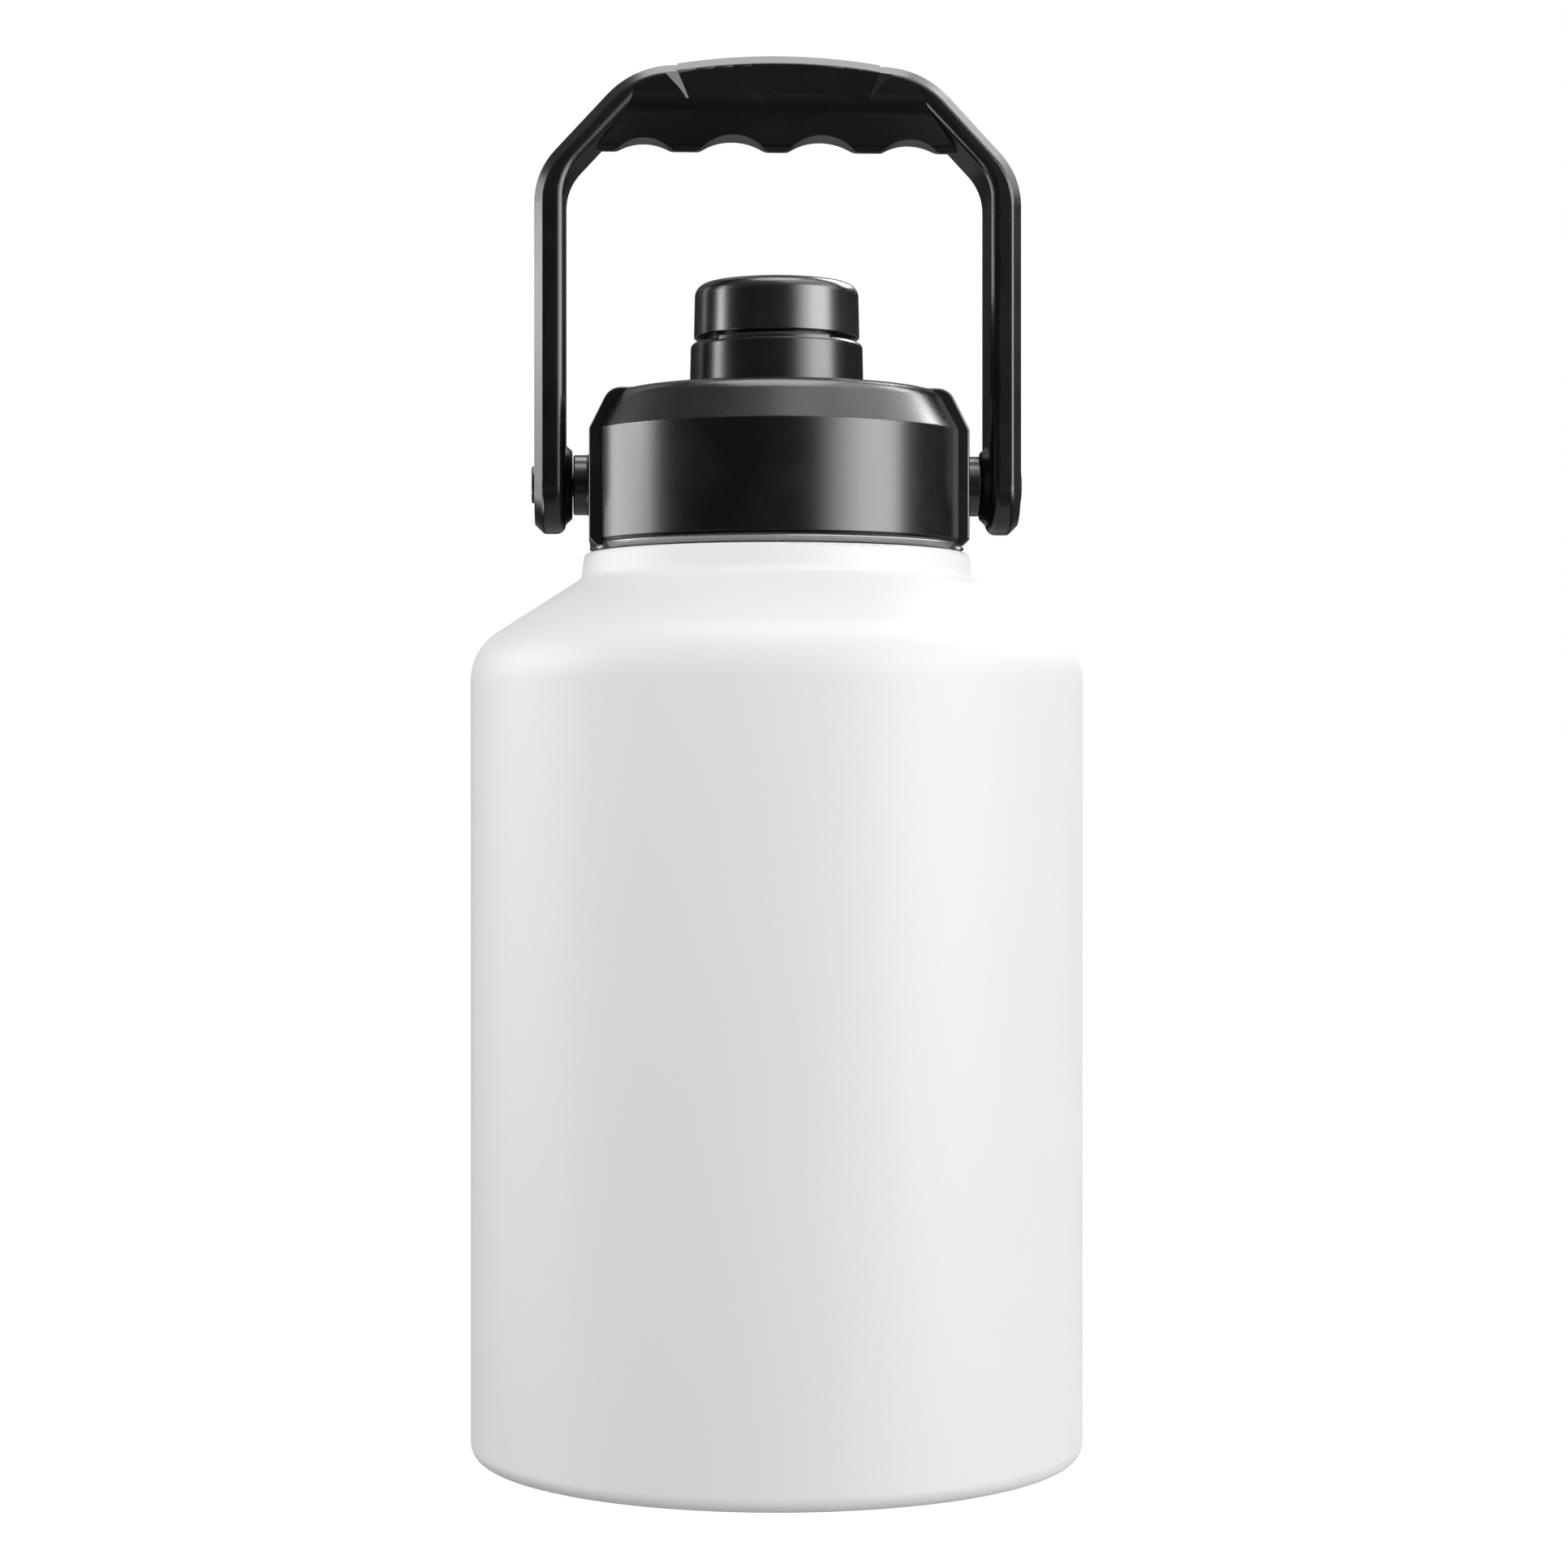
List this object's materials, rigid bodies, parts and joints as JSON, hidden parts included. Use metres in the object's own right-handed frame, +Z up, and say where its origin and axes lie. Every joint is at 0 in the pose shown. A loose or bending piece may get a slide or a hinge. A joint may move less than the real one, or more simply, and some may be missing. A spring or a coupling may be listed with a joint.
{
  "type": "insulated water jug",
  "caption": "Tall round insulated water jug with a coned shoulder, a black screw lid with a capped spout, and a swinging bail handle with a finger-grooved grip.",
  "frame": {"origin": "centre of the base, on the surface that the jug stands on", "axes": "+Z up along the jug's axis; X along the handle's pivot axis, with a leg of the handle at each end; -Y to the front"},
  "size_m": [0.16, 0.16, 0.3635],
  "materials": {
    "bottle_coat": "white satin powder coat over stainless steel",
    "lid_plastic": "black moulded plastic, fine satin",
    "cap_plastic": "black moulded plastic, fine satin",
    "handle_plastic": "black moulded plastic, fine satin",
    "pin_plastic": "black moulded plastic"
  },
  "bodies": {
    "jug": {"bottle": "bottle_coat", "lid": "lid_plastic", "cap": "cap_plastic", "pivot_pin_left": "pin_plastic", "pivot_pin_right": "pin_plastic"},
    "handle": {"handle": "handle_plastic"}
  },
  "joints": [
    {"name": "handle_swing", "type": "hinge", "parent": "jug", "child": "handle", "pos_m": [0, 0, 0.25339], "axis": [1, 0, 0], "range_deg": [-116, 116]}
  ]
}
